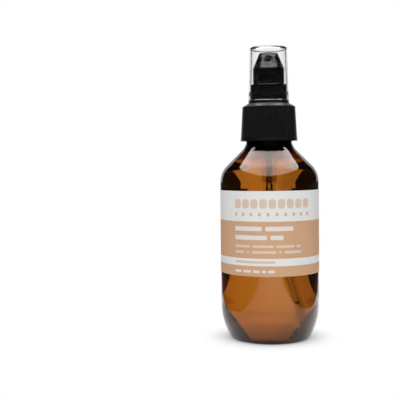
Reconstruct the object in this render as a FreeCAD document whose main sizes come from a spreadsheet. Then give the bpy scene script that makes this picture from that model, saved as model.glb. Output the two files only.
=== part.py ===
import FreeCAD, Part

import math
import os

import Sketcher

# A bottle of massage oil with a treatment pump and a clear overcap.
# Millimetres and degrees. +Z is up, the origin is the centre of the base, the nozzle faces -Y.
# Every sub-part is drawn about its own datum and then placed at its level in the stack.

SIZES = {
    # Bottle: a blown shell with a pushed-up base, a dropped heel and a sloping shoulder.
    "body_radius": "24.15",
    "body_wall": "0.6",
    "heel_height": "15.9",
    "heel_radius": "28",
    "foot_fillet": "1.4",
    "foot_width": "2.74",
    "foot_rim_fillet": "0.8",
    "push_up_height": "2.6",
    "floor_thickness": "1.0",
    "gate_radius": "1.5",
    "gate_height": "0.5",
    "shoulder_height": "77.4",
    "shoulder_radius": "11.1",
    "shoulder_angle": "46.9",
    "neck_radius": "11.0",
    "neck_blend": "10.1",
    "neck_step": "0.8",
    "neck_length": "13.0",
    "finish_radius": "10.8",
    "bore_radius": "9.4",
    "bore_blend": "11.0",
    "lip_fillet": "0.3",
    # Label: a printed film wrapped once round the body, with its seam at the back.
    "label_bottom": "33.1",
    "label_height": "40.2",
    "label_thickness": "0.1",
    "label_seam_angle": "21",
    # Clearances.
    "turning_gap": "0.1",
    "sliding_gap": "0.3",
    "grip_gap": "0.08",
    "bearing_gap": "0.05",
    "press_gap": "0.02",
    # Gasket and pump housing.
    "gasket_thickness": "1.0",
    "flange_radius": "11.0",
    "flange_thickness": "1.2",
    "cup_radius": "9.0",
    "cup_wall": "1.0",
    "cup_depth": "3.4",
    "cup_floor": "1.2",
    "cylinder_bore": "3.6",
    "cylinder_wall": "1.0",
    "cylinder_floor": "0.8",
    "chamber_wall": "0.6",
    "inlet_radius": "0.9",
    "inlet_length": "10.2",
    "inlet_wall": "1.1",
    "socket_depth": "4.0",
    "socket_wall": "0.5",
    "nib_count": "4",
    "nib_width": "0.5",
    "nib_height": "0.8",
    "nib_length": "0.55",
    "vent_radius": "0.4",
    "vent_drop": "1.0",
    # Inlet ball and dip tube.
    "ball_radius": "1.6",
    "ball_gap": "0.35",
    "ball_lift": "0.9",
    "tube_radius": "1.93",
    "tube_bore": "1.1",
    "tube_bend_radius": "120",
    "tube_lean_angle": "12.0",
    "tube_end_height": "3.6",
    "tube_cut_angle": "30",
    # Gland, which guides the stem and stops the piston.
    "gland_spigot": "1.5",
    "gland_flange": "1.0",
    "gland_wall": "1.2",
    # Collar: guides the actuator, carries the overcap and traps the closure.
    "collar_radius": "8.7",
    "collar_wall": "0.75",
    "collar_height": "7.8",
    "collar_floor": "1.0",
    "collar_fillet": "0.3",
    "ledge_radius": "9.97",
    "ledge_thickness": "1.3",
    "snap_length": "2.9",
    "snap_wall": "0.8",
    # Closure: the ribbed screw cap.
    "closure_height": "18.32",
    "closure_plate": "1.2",
    "closure_ring_radius": "13.94",
    "closure_ring_height": "1.8",
    "grip_radius": "13.75",
    "grip_top_radius": "12.95",
    "crown_height": "1.6",
    "crown_radius": "10.3",
    "thread_radius": "12.0",
    "thread_relief": "0.7",
    "rib_count": "72",
    "rib_depth": "0.32",
    "groove_width": "0.66",
    # Moving plunger: stem, piston rod and piston seal.
    "stroke_length": "5.0",
    "stem_radius": "2.2",
    "stem_bore": "1.1",
    "stem_foot": "0.9",
    "stem_foot_radius": "3.3",
    "skirt_length": "2.6",
    "skirt_radius": "3.0",
    "rod_radius": "1.45",
    "rod_plug": "4.2",
    "rod_flat": "0.8",
    "poppet_radius": "2.6",
    "poppet_thickness": "1.0",
    "spigot_radius": "1.7",
    "spigot_length": "2.4",
    "seal_hub_wall": "0.7",
    "seal_hub_height": "4.2",
    "seal_travel_length": "0.8",
    "seal_web": "0.8",
    "seal_web_height": "0.8",
    "lip_length": "1.4",
    "lip_wall": "0.35",
    # Return spring.
    "spring_wire": "0.5",
    "spring_radius": "2.4",
    "spring_turns": "5",
    "spring_spare": "0.5",
    # Actuator, with its teardrop recess and nozzle insert.
    "actuator_radius": "7.64",
    "actuator_side": "11.95",
    "cone_height": "7.6",
    "cone_top_radius": "4.54",
    "actuator_fillet": "0.7",
    "actuator_wall": "1.05",
    "cavity_slope_height": "4.2",
    "cavity_top_radius": "4.3",
    "hub_radius": "3.3",
    "hub_drop": "7.0",
    "socket_drop": "9.0",
    "channel_radius": "0.6",
    "nozzle_drop": "3.6",
    "recess_radius": "2.05",
    "recess_tail": "2.0",
    "tail_radius": "0.8",
    "recess_depth": "0.8",
    "insert_radius": "1.2",
    "insert_length": "2.2",
    "orifice_radius": "0.35",
    # Overcap: the clear push-on cap.
    "cap_rim_radius": "9.98",
    "cap_rim_height": "2.4",
    "cap_rim_step": "1.7",
    "cap_base_radius": "9.7",
    "cap_top_radius": "9.06",
    "cap_wall": "0.8",
    "cap_top": "1.0",
    "cap_headroom": "1.9",
    "cap_corner": "0.8",
    "cap_gate_radius": "1.25",
    "cap_gate_depth": "0.3",
}

LEFT, RIGHT = 1, -1
WIRE_SIDES = 8


class Size:
    """A number together with the spreadsheet expression that it comes from."""

    def __init__(self, value, text):
        self.value = value
        self.text = text

    def __add__(self, other):
        other = as_size(other)
        return Size(self.value + other.value, f"({self.text} + {other.text})")

    def __sub__(self, other):
        other = as_size(other)
        return Size(self.value - other.value, f"({self.text} - {other.text})")

    def __rsub__(self, other):
        return as_size(other) - self

    def __mul__(self, other):
        other = as_size(other)
        return Size(self.value * other.value, f"({self.text} * {other.text})")

    def __truediv__(self, other):
        other = as_size(other)
        return Size(self.value / other.value, f"({self.text} / {other.text})")

    def __neg__(self):
        return Size(-self.value, f"(0 - {self.text})")


def as_size(value):
    if isinstance(value, Size):
        return value
    return Size(float(value), repr(float(value)))


def sine(angle):
    return Size(math.sin(math.radians(angle.value)), f"sin({angle.text})")


def cosine(angle):
    return Size(math.cos(math.radians(angle.value)), f"cos({angle.text})")


def tangent(angle):
    return Size(math.tan(math.radians(angle.value)), f"tan({angle.text})")


def arcsine(ratio):
    return Size(math.degrees(math.asin(ratio.value)), f"asin({ratio.text})")


def root(square):
    return Size(math.sqrt(square.value), f"sqrt({square.text})")


class Sheet:
    """The driving dimensions: sheet.body_radius is the Size in the cell of that name."""

    def __init__(self, doc):
        cells = doc.addObject("Spreadsheet::Sheet", "Sizes")
        for row, (name, value) in enumerate(SIZES.items(), start=1):
            cells.set(f"A{row}", name)
            cells.set(f"B{row}", value)
            cells.setAlias(f"B{row}", name)
            setattr(self, name, Size(float(value), f"Sizes.{name}"))


# Helpers for bodies, sketches and features.


def new_body(doc, name):
    body = doc.addObject("PartDesign::Body", name)
    body.Label = name
    return body


def origin_feature(body, role):
    return next(part for part in body.Origin.OriginFeatures if part.Role == role)


def new_sketch(body, name, role="XZ_Plane", height=None):
    """An empty sketch on one of the body's own planes, lifted along its normal by height."""
    sketch = body.newObject("Sketcher::SketchObject", name)
    sketch.AttachmentSupport = [(origin_feature(body, role), "")]
    sketch.MapMode = "FlatFace"
    if height is not None:
        sketch.setExpression("AttachmentOffset.Base.z", height.text)
        sketch.AttachmentOffset.Base.z = height.value
    return sketch


def bind(sketch, constraint, size):
    """Adds a dimension and ties it to its expression."""
    index = sketch.addConstraint(constraint)
    sketch.setExpression(f"Constraints[{index}]", size.text)


def fix_point(sketch, geometry, end, x, y):
    """Dimensions one end of a line or arc from the sketch's origin."""
    for size, direction, axis in ((as_size(x), "DistanceX", -2), (as_size(y), "DistanceY", -1)):
        if size.value == 0:
            sketch.addConstraint(Sketcher.Constraint("PointOnObject", geometry, end, axis))
        elif size.value > 0:
            rule = Sketcher.Constraint(direction, -1, 1, geometry, end, size.value)
            bind(sketch, rule, size)
        else:
            rule = Sketcher.Constraint(direction, geometry, end, -1, 1, -size.value)
            bind(sketch, rule, -size)


def curve_between(start, end, radius, turn):
    """The short arc of that radius from start to end, turning LEFT or RIGHT on the way."""
    chord = end - start
    half = chord.Length / 2
    normal = FreeCAD.Vector(-chord.y, chord.x, 0).normalize() * turn
    centre = (start + end) / 2 + normal * math.sqrt(max(radius * radius - half * half, 0))
    circle = Part.Circle(centre, FreeCAD.Vector(0, 0, 1), radius)
    first, last = (start, end) if turn == LEFT else (end, start)
    return Part.ArcOfCircle(circle, circle.parameter(first), circle.parameter(last))


def draw_outline(sketch, outline):
    """A closed outline. Each corner is (x, y), or (x, y, radius, turn) when an arc leads to it."""
    corners = [FreeCAD.Vector(as_size(c[0]).value, as_size(c[1]).value, 0) for c in outline]
    heads = []
    for index, corner in enumerate(outline):
        before, here = corners[index - 1], corners[index]
        if len(corner) == 2:
            heads.append((sketch.addGeometry(Part.LineSegment(before, here)), 1, 2))
        else:
            radius, turn = corner[2:]
            arc = sketch.addGeometry(curve_between(before, here, radius.value, turn))
            heads.append((arc, 1, 2) if turn == LEFT else (arc, 2, 1))
    for index, corner in enumerate(outline):
        edge, _, end = heads[index]
        following, start, _ = heads[(index + 1) % len(heads)]
        sketch.addConstraint(Sketcher.Constraint("Coincident", edge, end, following, start))
        fix_point(sketch, edge, end, corner[0], corner[1])
        if len(corner) == 4:
            bind(sketch, Sketcher.Constraint("Radius", edge, corner[2].value), corner[2])


def draw_circle(sketch, radius, x=0, y=0):
    centre = FreeCAD.Vector(as_size(x).value, as_size(y).value, 0)
    circle = sketch.addGeometry(Part.Circle(centre, FreeCAD.Vector(0, 0, 1), radius.value))
    fix_point(sketch, circle, 3, x, y)
    bind(sketch, Sketcher.Constraint("Radius", circle, radius.value), radius)


def turned(body, name, outline, kind="Revolution"):
    """Turns an outline of (radius, height) corners about the body's Z axis."""
    sketch = new_sketch(body, name + "_outline")
    draw_outline(sketch, outline)
    feature = body.newObject("PartDesign::" + kind, name)
    feature.Profile = sketch
    feature.ReferenceAxis = (sketch, ["V_Axis"])
    feature.Angle = 360
    body.Document.recompute()
    return feature


def prism(body, name, sketch, length, kind="Pad", reverse=False, both_ways=False):
    """Pads or pockets a sketch over a length."""
    feature = body.newObject("PartDesign::" + kind, name)
    feature.Profile = sketch
    feature.Midplane = both_ways
    feature.Reversed = reverse
    feature.setExpression("Length", length.text)
    return feature


def round_rims(body, name, fillet, *rims):
    """Fillets the circular edges that have the given (radius, height)."""
    base = body.Tip
    names = []
    for number, edge in enumerate(base.Shape.Edges, start=1):
        if edge.Degenerated or not isinstance(edge.Curve, Part.Circle):
            continue
        centre = edge.Curve.Center
        for radius, height in rims:
            same_height = abs(centre.z - as_size(height).value) < 1e-4
            if same_height and abs(edge.Curve.Radius - radius.value) < 1e-4:
                names.append(f"Edge{number}")
    feature = body.newObject("PartDesign::Fillet", name)
    feature.Base = (base, names)
    feature.setExpression("Radius", fillet.text)
    body.Document.recompute()
    return feature


def spread(body, name, feature, count):
    """Repeats a feature evenly round the body's Z axis."""
    pattern = body.newObject("PartDesign::PolarPattern", name)
    pattern.Originals = [feature]
    pattern.Axis = (origin_feature(body, "Z_Axis"), [""])
    pattern.Angle = 360
    pattern.setExpression("Occurrences", count.text)
    body.Tip = pattern
    return pattern


def lift(part, height):
    """Places a sub-part with its datum at that level."""
    part.setExpression("Placement.Base.z", height.text)


# Levels of the stack, from the bottle's base up to the top of the actuator and down the pump.


class Levels:
    def __init__(self, s):
        blend_radius = s.neck_radius + s.neck_blend * (1 - cosine(s.shoulder_angle))
        self.shoulder_end = shoulder_end(s, s.shoulder_radius, s.body_radius)
        self.blend_start = slope_end(s, self.shoulder_end, blend_radius)
        self.neck = self.blend_start[1] + s.neck_blend * sine(s.shoulder_angle)
        self.neck_top = self.neck + s.neck_length
        self.flange = self.neck_top + s.gasket_thickness
        self.flange_top = self.flange + s.flange_thickness
        self.closure_top = self.flange_top + s.turning_gap + s.closure_plate
        self.closure = self.closure_top - s.closure_height
        self.ledge = self.closure_top + s.turning_gap
        self.cap_seat = self.ledge + s.ledge_thickness
        self.collar_floor_top = self.flange_top + s.collar_floor
        self.actuator = self.collar_floor_top + s.stroke_length + s.sliding_gap
        self.actuator_top = self.actuator + s.actuator_side + s.cone_height
        self.overcap = self.cap_seat + s.turning_gap
        self.overcap_top = self.actuator_top + s.cap_headroom + s.cap_top
        self.gland = self.flange_top - s.cup_depth
        self.stem = self.gland - s.gland_spigot - s.turning_gap - s.stem_foot
        self.stem_top = self.actuator_top - s.socket_drop - s.turning_gap
        self.seal = self.stem - s.turning_gap - s.seal_travel_length - s.seal_hub_height
        self.poppet = self.seal - s.turning_gap
        self.poppet_bottom = self.poppet - s.poppet_thickness
        solid_spring = s.spring_wire * (s.spring_turns + 2)
        self.cylinder_floor = (
            self.poppet_bottom - s.turning_gap - s.stroke_length - s.spring_spare - solid_spring
        )
        self.ball = self.cylinder_floor - s.nib_height - s.ball_lift - s.bearing_gap - s.ball_radius
        seat_drop = (s.ball_radius + s.press_gap) * root(as_size(2))
        self.inlet = self.ball - seat_drop + s.inlet_radius
        self.socket_top = self.inlet - s.inlet_length
        self.nozzle = self.actuator_top - s.nozzle_drop


def shoulder_end(s, radius, outside):
    """Where the shoulder's round stretch runs into its straight slope, as (radius, height)."""
    drop = radius * (1 - cosine(s.shoulder_angle))
    return outside - drop, s.shoulder_height + radius * sine(s.shoulder_angle)


def slope_end(s, start, radius):
    """The point of the straight slope that has that radius, as (radius, height)."""
    return radius, start[1] + (start[0] - radius) / tangent(s.shoulder_angle)


# Bottle and label.


def make_bottle(doc, s, z):
    body = new_body(doc, "bottle")
    heel = s.body_radius - s.heel_radius
    foot = heel + root(s.heel_radius * s.heel_radius - s.heel_height * s.heel_height)
    foot_rim = foot - s.foot_width
    arch = (foot_rim * foot_rim + s.push_up_height * s.push_up_height) / (s.push_up_height * 2)
    turned(
        body,
        "bottle_outside",
        [
            (0, s.push_up_height),
            (foot_rim, 0, arch, RIGHT),
            (foot, 0),
            (s.body_radius, s.heel_height, s.heel_radius, LEFT),
            (s.body_radius, s.shoulder_height),
            (*z.shoulder_end, s.shoulder_radius, LEFT),
            z.blend_start,
            (s.neck_radius, z.neck, s.neck_blend, RIGHT),
            (s.neck_radius, z.neck + s.neck_step),
            (s.finish_radius, z.neck + s.neck_step),
            (s.finish_radius, z.neck_top),
            (0, z.neck_top),
        ],
    )
    round_rims(body, "foot_corner", s.foot_fillet, (foot, 0))
    round_rims(body, "foot_rim", s.foot_rim_fillet, (foot_rim, 0))
    hollow_bottle(body, s, z, arch)
    gate = new_sketch(body, "gate_circle", "XY_Plane", s.push_up_height - s.gate_height)
    draw_circle(gate, s.gate_radius)
    prism(body, "gate", gate, s.gate_height + s.floor_thickness / 2)
    doc.recompute()
    lip = z.neck_top
    round_rims(body, "lip", s.lip_fillet, (s.finish_radius, lip), (s.bore_radius, lip))


def hollow_bottle(body, s, z, arch):
    """Cuts the inside, one wall in from the outside and thicker at the floor and the neck."""
    inside = s.body_radius - s.body_wall
    inner_arch = arch + s.floor_thickness
    arch_drop = arch - s.push_up_height + s.floor_thickness
    trough = root(inner_arch * inner_arch - arch_drop * arch_drop)
    heel_radius = s.heel_radius - s.body_wall
    heel_depth = s.heel_height - s.floor_thickness
    heel = s.body_radius - s.heel_radius + root(heel_radius * heel_radius - heel_depth * heel_depth)
    shoulder_radius = s.shoulder_radius - s.body_wall
    round_end = shoulder_end(s, shoulder_radius, inside)
    blend = s.bore_radius + s.bore_blend * (1 - cosine(s.shoulder_angle))
    blend_start = slope_end(s, round_end, blend)
    blend_end = blend_start[1] + s.bore_blend * sine(s.shoulder_angle)
    above = z.neck_top + s.gasket_thickness
    turned(
        body,
        "bottle_inside",
        [
            (0, s.push_up_height + s.floor_thickness),
            (trough, s.floor_thickness, inner_arch, RIGHT),
            (heel, s.floor_thickness),
            (inside, s.heel_height, heel_radius, LEFT),
            (inside, s.shoulder_height),
            (*round_end, shoulder_radius, LEFT),
            blend_start,
            (s.bore_radius, blend_end, s.bore_blend, RIGHT),
            (s.bore_radius, above),
            (0, above),
        ],
        kind="Groove",
    )


def make_wrap_label(doc, s):
    body = new_body(doc, "wrap_label")
    inside = s.body_radius + s.press_gap
    outside = inside + s.label_thickness
    wrap = turned(
        body,
        "wrap",
        [
            (inside, 0),
            (outside, 0),
            (outside, s.label_height),
            (inside, s.label_height),
        ],
    )
    wrap.Midplane = True
    wrap.setExpression("Angle", (360 - s.label_seam_angle).text)
    body.Placement.Rotation = FreeCAD.Rotation(FreeCAD.Vector(0, 0, 1), -90)
    lift(body, s.label_bottom)


# Fixed parts of the pump.


def make_neck_gasket(doc, s, z):
    body = new_body(doc, "neck_gasket")
    inside = s.cup_radius + s.bearing_gap
    turned(
        body,
        "gasket_ring",
        [
            (inside, 0),
            (s.flange_radius, 0),
            (s.flange_radius, s.gasket_thickness),
            (inside, s.gasket_thickness),
        ],
    )
    lift(body, z.neck_top)


def make_pump_housing(doc, s, z):
    """Flange and cup, pump cylinder, ball chamber, inlet pipe and the dip tube's socket."""
    body = new_body(doc, "pump_housing")
    cup_inside = s.cup_radius - s.cup_wall
    cylinder = s.cylinder_bore + s.cylinder_wall
    chamber = s.ball_radius + s.ball_gap
    chamber_outside = chamber + s.chamber_wall
    pipe = s.inlet_radius + s.inlet_wall
    socket = s.tube_radius + s.press_gap
    socket_outside = socket + s.socket_wall
    cup_bottom = s.flange_thickness - s.cup_depth
    floor = z.cylinder_floor - z.flange
    inlet = z.inlet - z.flange
    socket_top = z.socket_top - z.flange
    socket_bottom = socket_top - s.socket_depth
    turned(
        body,
        "housing_wall",
        [
            (socket, socket_bottom),
            (socket_outside, socket_bottom),
            (socket_outside, socket_top + s.socket_wall),
            (pipe, socket_top + s.socket_wall),
            (pipe, inlet - chamber_outside + pipe),
            (chamber_outside, inlet),
            (chamber_outside, floor - s.cylinder_floor),
            (cylinder, floor - s.cylinder_floor),
            (cylinder, cup_bottom - s.cup_floor),
            (s.cup_radius, cup_bottom - s.cup_floor),
            (s.cup_radius, 0),
            (s.flange_radius, 0),
            (s.flange_radius, s.flange_thickness),
            (cup_inside, s.flange_thickness),
            (cup_inside, cup_bottom),
            (s.cylinder_bore, cup_bottom),
            (s.cylinder_bore, floor),
            (chamber, floor),
            (chamber, inlet + chamber - s.inlet_radius),
            (s.inlet_radius, inlet),
            (s.inlet_radius, socket_top),
            (socket, socket_top),
        ],
    )
    add_ball_nibs(body, s, chamber, floor)
    vent = new_sketch(body, "vent_circle", "YZ_Plane")
    draw_circle(vent, s.vent_radius, 0, cup_bottom - s.cup_floor - s.vent_drop)
    prism(body, "vent_hole", vent, cylinder + s.cylinder_wall, kind="Pocket", reverse=True)
    lift(body, z.flange)


def add_ball_nibs(body, s, chamber, floor):
    """Four nibs under the cylinder's floor keep the inlet ball in its chamber."""
    inner = chamber - s.nib_length
    outer = chamber + s.chamber_wall / 2
    side = s.nib_width / 2
    nib_outline = new_sketch(body, "nib_outline", "XY_Plane", floor - s.nib_height)
    draw_outline(nib_outline, [(inner, -side), (outer, -side), (outer, side), (inner, side)])
    nib = prism(body, "nib", nib_outline, s.nib_height)
    body.Document.recompute()
    spread(body, "nibs", nib, s.nib_count)
    body.Document.recompute()


def make_gland(doc, s, z):
    body = new_body(doc, "gland")
    bore = s.stem_radius + s.bearing_gap
    guide = bore + s.gland_wall
    flange = s.cup_radius - s.cup_wall - s.turning_gap - s.snap_wall - s.turning_gap
    spigot = s.cylinder_bore - s.bearing_gap
    top = s.cup_depth - s.turning_gap
    turned(
        body,
        "gland_wall",
        [
            (bore, -s.gland_spigot),
            (spigot, -s.gland_spigot),
            (spigot, 0),
            (flange, 0),
            (flange, s.gland_flange),
            (guide, s.gland_flange),
            (guide, top),
            (bore, top),
        ],
    )
    lift(body, z.gland)


def make_collar(doc, s, z):
    body = new_body(doc, "collar")
    bore = s.collar_radius - s.collar_wall
    stem_hole = s.stem_radius + s.sliding_gap
    snap = s.cup_radius - s.cup_wall - s.turning_gap
    ledge = z.ledge - z.flange_top
    seat = z.cap_seat - z.flange_top
    top = seat + s.collar_height
    turned(
        body,
        "collar_wall",
        [
            (stem_hole, 0),
            (snap - s.snap_wall, 0),
            (snap - s.snap_wall, -s.snap_length),
            (snap, -s.snap_length),
            (snap, 0),
            (s.collar_radius, 0),
            (s.collar_radius, ledge),
            (s.ledge_radius, ledge),
            (s.ledge_radius, seat),
            (s.collar_radius, seat),
            (s.collar_radius, top),
            (bore, top),
            (bore, s.collar_floor),
            (stem_hole, s.collar_floor),
        ],
    )
    round_rims(body, "collar_lip", s.collar_fillet, (s.collar_radius, top), (bore, top))
    round_rims(body, "ledge_rim", s.collar_fillet, (s.ledge_radius, seat), (s.ledge_radius, ledge))
    lift(body, z.flange_top)


def make_closure(doc, s, z):
    body = new_body(doc, "closure")
    hole = s.collar_radius + s.turning_gap
    flange_room = s.flange_radius + s.sliding_gap
    plate = s.closure_height - s.closure_plate
    shoulder = s.closure_height - s.crown_height
    relief = plate - s.gasket_thickness
    turned(
        body,
        "closure_wall",
        [
            (s.thread_radius, 0),
            (s.closure_ring_radius, 0),
            (s.closure_ring_radius, s.closure_ring_height),
            (s.grip_radius, s.closure_ring_height),
            (s.grip_top_radius, shoulder),
            (s.crown_radius, s.closure_height),
            (hole, s.closure_height),
            (hole, plate),
            (flange_room, plate),
            (flange_room, relief),
            (s.thread_radius, relief - s.thread_relief),
        ],
    )
    round_rims(body, "crown_corner", s.collar_fillet, (s.grip_top_radius, shoulder))
    cut_grip_grooves(body, s, shoulder)
    lift(body, z.closure)


def cut_grip_grooves(body, s, shoulder):
    """One V groove down the tapered side, repeated to leave the ribs."""
    groove = body.newObject("PartDesign::SubtractiveLoft", "grip_groove")
    rise = shoulder + s.crown_height / 2 - s.closure_ring_height
    taper = (s.grip_radius - s.grip_top_radius) / (shoulder - s.closure_ring_height)
    sections = []
    for name, level, side in (
        ("groove_bottom", s.closure_ring_height, s.grip_radius),
        ("groove_top", s.closure_ring_height + rise, s.grip_radius - taper * rise),
    ):
        outer, half = side + s.rib_depth, s.groove_width
        section = new_sketch(body, name, "XY_Plane", level)
        draw_outline(section, [(side - s.rib_depth, 0), (outer, -half), (outer, half)])
        sections.append(section)
    groove.Profile = sections[0]
    groove.Sections = sections[1:]
    groove.Ruled = True
    body.Tip = groove
    body.Document.recompute()
    spread(body, "grip_grooves", groove, s.rib_count)


def make_dip_tube(doc, s, z):
    """Straight in its socket, then one gentle bend, then straight to the heel of the bottle."""
    body = new_body(doc, "dip_tube")
    bend_end_x = s.tube_bend_radius * (1 - cosine(s.tube_lean_angle))
    bend_end_z = -s.socket_depth - s.tube_bend_radius * sine(s.tube_lean_angle)
    end_z = s.tube_end_height - z.socket_top + s.press_gap
    end_x = bend_end_x + (bend_end_z - end_z) * tangent(s.tube_lean_angle)
    run = new_sketch(body, "tube_run")
    draw_tube_run(run, s, (bend_end_x, bend_end_z), (end_x, end_z))
    ring = new_sketch(body, "tube_ring", "XY_Plane")
    draw_circle(ring, s.tube_radius)
    draw_circle(ring, s.tube_bore)
    pipe = body.newObject("PartDesign::AdditivePipe", "tube")
    pipe.Profile = ring
    pipe.Spine = run
    doc.recompute()
    cut_tube_end(body, s, end_x, end_z)
    lift(body, z.socket_top - s.press_gap)


def draw_tube_run(run, s, bend_end, end):
    """The tube's centre line: a line, a tangent arc and a line."""
    top = FreeCAD.Vector(0, 0, 0)
    mouth = FreeCAD.Vector(0, -s.socket_depth.value, 0)
    bend = FreeCAD.Vector(bend_end[0].value, bend_end[1].value, 0)
    tip = FreeCAD.Vector(end[0].value, end[1].value, 0)
    first = run.addGeometry(Part.LineSegment(top, mouth))
    arc = run.addGeometry(curve_between(mouth, bend, s.tube_bend_radius.value, LEFT))
    last = run.addGeometry(Part.LineSegment(bend, tip))
    run.addConstraint(Sketcher.Constraint("Coincident", first, 1, -1, 1))
    run.addConstraint(Sketcher.Constraint("Coincident", first, 2, arc, 1))
    run.addConstraint(Sketcher.Constraint("Coincident", arc, 2, last, 1))
    fix_point(run, first, 2, 0, -s.socket_depth)
    bind(run, Sketcher.Constraint("Radius", arc, s.tube_bend_radius.value), s.tube_bend_radius)
    fix_point(run, arc, 2, *bend_end)
    fix_point(run, last, 2, *end)


def cut_tube_end(body, s, end_x, end_z):
    """Cuts the lower end at a slant, so that the floor can't seal it."""
    half = s.tube_radius * 2
    slant = half * tangent(s.tube_cut_angle)
    below = s.tube_radius * 3
    wedge = new_sketch(body, "end_wedge")
    draw_outline(
        wedge,
        [
            (end_x - half, end_z - below),
            (end_x + half, end_z - below),
            (end_x + half, end_z + slant),
            (end_x - half, end_z - slant),
        ],
    )
    prism(body, "end_cut", wedge, half * 2, kind="Pocket", both_ways=True)
    body.Document.recompute()


def make_inlet_ball(doc, s, z):
    ball = doc.addObject("Part::Sphere", "inlet_ball")
    ball.Label = "inlet_ball"
    ball.setExpression("Radius", s.ball_radius.text)
    lift(ball, z.ball)


# Moving parts of the pump.


def make_stem(doc, s, z):
    """A tube with a foot that stops under the gland and a skirt round the seal's hub."""
    body = new_body(doc, "stem")
    skirt_bore = s.rod_radius + s.turning_gap + s.seal_hub_wall + s.turning_gap
    top = z.stem_top - z.stem
    turned(
        body,
        "stem_wall",
        [
            (s.stem_bore, 0),
            (skirt_bore, 0),
            (skirt_bore, -s.skirt_length),
            (s.skirt_radius, -s.skirt_length),
            (s.skirt_radius, 0),
            (s.stem_foot_radius, 0),
            (s.stem_foot_radius, s.stem_foot),
            (s.stem_radius, s.stem_foot),
            (s.stem_radius, top),
            (s.stem_bore, top),
        ],
    )
    lift(body, z.stem)


def make_piston_rod(doc, s, z):
    """A poppet that shuts the seal from below, on a flatted rod plugged into the stem."""
    body = new_body(doc, "piston_rod")
    bottom = -s.poppet_thickness
    shoulder = z.stem - s.turning_gap - z.poppet
    plug = s.stem_bore - s.press_gap
    turned(
        body,
        "rod_wall",
        [
            (0, bottom - s.spigot_length),
            (s.spigot_radius, bottom - s.spigot_length),
            (s.spigot_radius, bottom),
            (s.poppet_radius, bottom),
            (s.poppet_radius, 0),
            (s.rod_radius, 0),
            (s.rod_radius, shoulder),
            (plug, shoulder),
            (plug, shoulder + s.rod_plug),
            (0, shoulder + s.rod_plug),
        ],
    )
    cut_rod_flats(body, s, shoulder)
    lift(body, z.poppet)


def cut_rod_flats(body, s, shoulder):
    """Two flats along the rod let the oil past it and up the stem."""
    outer = s.rod_radius * 2
    top = shoulder + s.rod_plug * 2
    flat = new_sketch(body, "flat_outline", "YZ_Plane")
    draw_outline(
        flat,
        [
            (s.rod_flat, s.seal_web),
            (outer, s.seal_web),
            (outer, top),
            (s.rod_flat, top),
        ],
    )
    cut = prism(body, "flat", flat, outer * 2, kind="Pocket", both_ways=True)
    body.Document.recompute()
    spread(body, "flats", cut, as_size(2))
    body.Document.recompute()


def make_piston_seal(doc, s, z):
    """A soft double-lipped piston whose hub slides a little on the rod."""
    body = new_body(doc, "piston_seal")
    bore = s.rod_radius + s.turning_gap
    hub = bore + s.seal_hub_wall
    outside = s.cylinder_bore - s.bearing_gap
    lip = outside - s.lip_wall
    waist = outside - s.lip_wall / 2
    web_top = s.seal_web_height + s.seal_web
    skirt_room = s.skirt_radius + s.turning_gap
    turned(
        body,
        "seal_wall",
        [
            (bore, 0),
            (hub, 0),
            (hub, s.seal_web_height),
            (skirt_room, s.seal_web_height),
            (lip, s.seal_web_height - s.lip_length),
            (outside, s.seal_web_height - s.lip_length),
            (waist, s.seal_web_height + s.seal_web / 2),
            (outside, web_top + s.lip_length),
            (lip, web_top + s.lip_length),
            (skirt_room, web_top),
            (hub, web_top),
            (hub, s.seal_hub_height),
            (bore, s.seal_hub_height),
        ],
    )
    lift(body, z.seal)


def make_return_spring(doc, s, z):
    """Open coils between two closed end coils, from the cylinder's floor to the poppet."""
    body = new_body(doc, "return_spring")
    closed = s.spring_wire + s.bearing_gap
    first = s.bearing_gap + s.spring_wire / 2
    last = z.poppet_bottom - z.cylinder_floor - first
    coils = (
        ("lower_coil", first, closed, as_size(1)),
        ("open_coils", first + closed, last - first - closed * 2, s.spring_turns),
        ("upper_coil", last - closed, closed, as_size(1)),
    )
    for name, level, height, turns in coils:
        section = new_sketch(body, name + "_wire")
        draw_outline(section, wire_section(s, level))
        coil = body.newObject("PartDesign::AdditiveHelix", name)
        coil.Profile = section
        coil.ReferenceAxis = (section, ["V_Axis"])
        coil.Mode = "height-turns-angle"
        coil.setExpression("Height", height.text)
        coil.setExpression("Turns", turns.text)
        doc.recompute()
    lift(body, z.cylinder_floor)


def wire_section(s, level):
    """The wire's section beside the axis: eight flat sides keep the coils light."""
    corners = []
    for side in range(WIRE_SIDES):
        angle = as_size((side + 0.5) * 360 / WIRE_SIDES)
        across = s.spring_wire / 2 * cosine(angle)
        up = s.spring_wire / 2 * sine(angle)
        corners.append((s.spring_radius + across, level + up))
    return corners


# Actuator and nozzle.


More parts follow.
